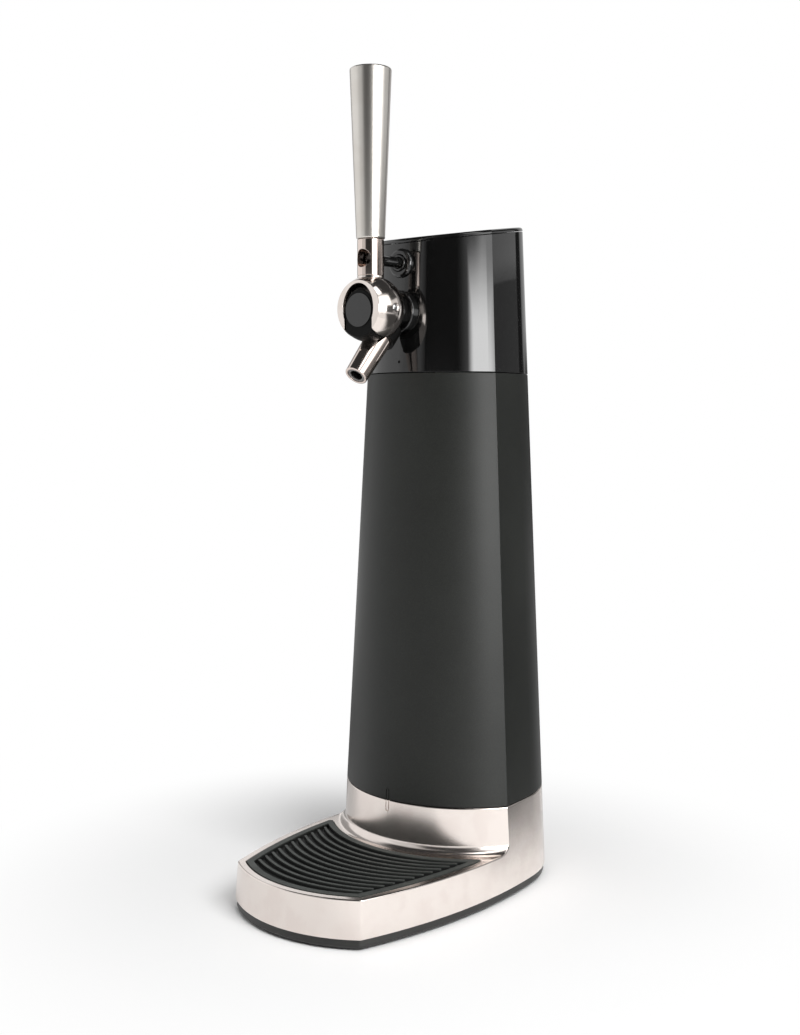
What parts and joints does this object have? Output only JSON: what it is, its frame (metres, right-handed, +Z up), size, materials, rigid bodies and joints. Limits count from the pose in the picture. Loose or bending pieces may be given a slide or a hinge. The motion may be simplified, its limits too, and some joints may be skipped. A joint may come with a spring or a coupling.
{
  "type": "beer dispenser",
  "caption": "Counter-top beer dispenser: a tapered tower that lifts off over a bottle chamber, with a swinging tap handle and a spout above a ribbed drip mat.",
  "frame": {"origin": "on the table, in the middle of the outline seen from above", "axes": "+X to the right seen from the front, -Y towards the front where the tap is, +Z up"},
  "size_m": [0.1196, 0.1932, 0.4462],
  "materials": {
    "base_nickel": "satin, champagne-nickel tone",
    "skirt_black": "fine matt moulding",
    "foot_rubber": "matt",
    "mat_rubber": "matt, slightly worn rib tops",
    "screw_steel": "plated",
    "chamber_grey": "moulded",
    "tube_natural": "milky",
    "tower_charcoal": "matt with a fine grain",
    "cap_black": "high gloss",
    "tap_black": "gloss",
    "tap_nickel": "polished warm nickel",
    "handle_nickel": "satin nickel",
    "brass_fitting": "turned",
    "inner_black": "moulded",
    "motor_steel": "drawn can",
    "board_green": "printed board",
    "cell_wrap": "plain wrap",
    "hose_clear": "soft tube",
    "light_lens": "clear lens"
  },
  "bodies": {
    "base": {"base_shell": "base_nickel", "base_pan": "skirt_black", "rubber_feet": "foot_rubber", "base_screws": "screw_steel", "drip_tray": "skirt_black", "chamber_cup": "chamber_grey", "bottle_pad": "foot_rubber"},
    "mat": {"drip_mat": "mat_rubber"},
    "tower": {"tower_shell": "tower_charcoal", "chamber_sleeve": "chamber_grey", "tower_seal": "foot_rubber", "chamber_bulkhead": "chamber_grey", "dip_tube": "tube_natural", "cap_shell": "cap_black", "tap_flange": "tap_black", "tap_shank": "brass_fitting", "shank_washer": "inner_black", "shank_nut": "brass_fitting", "tap_core": "tap_black", "core_disc": "tap_black", "spout": "tap_nickel", "spout_liner": "inner_black", "rod_bezel": "tap_black", "rod_bush": "tap_nickel", "indicator_light": "light_lens", "beer_hose": "hose_clear", "foam_transducer": "motor_steel", "air_pump": "inner_black", "pump_motor": "motor_steel", "control_board": "board_green", "micro_switches": "inner_black", "switch_bracket": "inner_black", "battery_box": "inner_black", "battery_cells": "cell_wrap", "battery_contacts": "brass_fitting"},
    "lever": {"ball_shell": "tap_nickel", "pivot_pins": "screw_steel", "collar": "tap_nickel", "collar_screw": "screw_steel", "handle": "handle_nickel", "handle_stud": "screw_steel"},
    "rod": {"push_rod": "tap_black", "rod_screw": "tap_black", "switch_slider": "tube_natural"},
    "lid": {"cap_lid": "cap_black"}
  },
  "joints": [
    {"name": "tower_lift", "type": "slide", "parent": "base", "child": "tower", "axis": [0, 0, 1], "range_m": [0, 0.25]},
    {"name": "mat_lift", "type": "slide", "parent": "base", "child": "mat", "axis": [0, 0, 1], "range_m": [0, 0.02]},
    {"name": "tap_lever", "type": "hinge", "parent": "tower", "child": "lever", "pos_m": [0, -0.0246, 0.3162], "axis": [1, 0, 0], "range_deg": [-8, 15]},
    {"name": "rod_slide", "type": "slide", "parent": "tower", "child": "rod", "axis": [0, -1, 0], "range_m": [-0.0045, 0.0078]},
    {"name": "lid_lift", "type": "slide", "parent": "tower", "child": "lid", "axis": [0, -0.1547, 0.988], "range_m": [0, 0.03]}
  ],
  "couplings": [
    {"joint": "rod_slide", "follows": "tap_lever", "m_per_rad": 0.027}
  ]
}
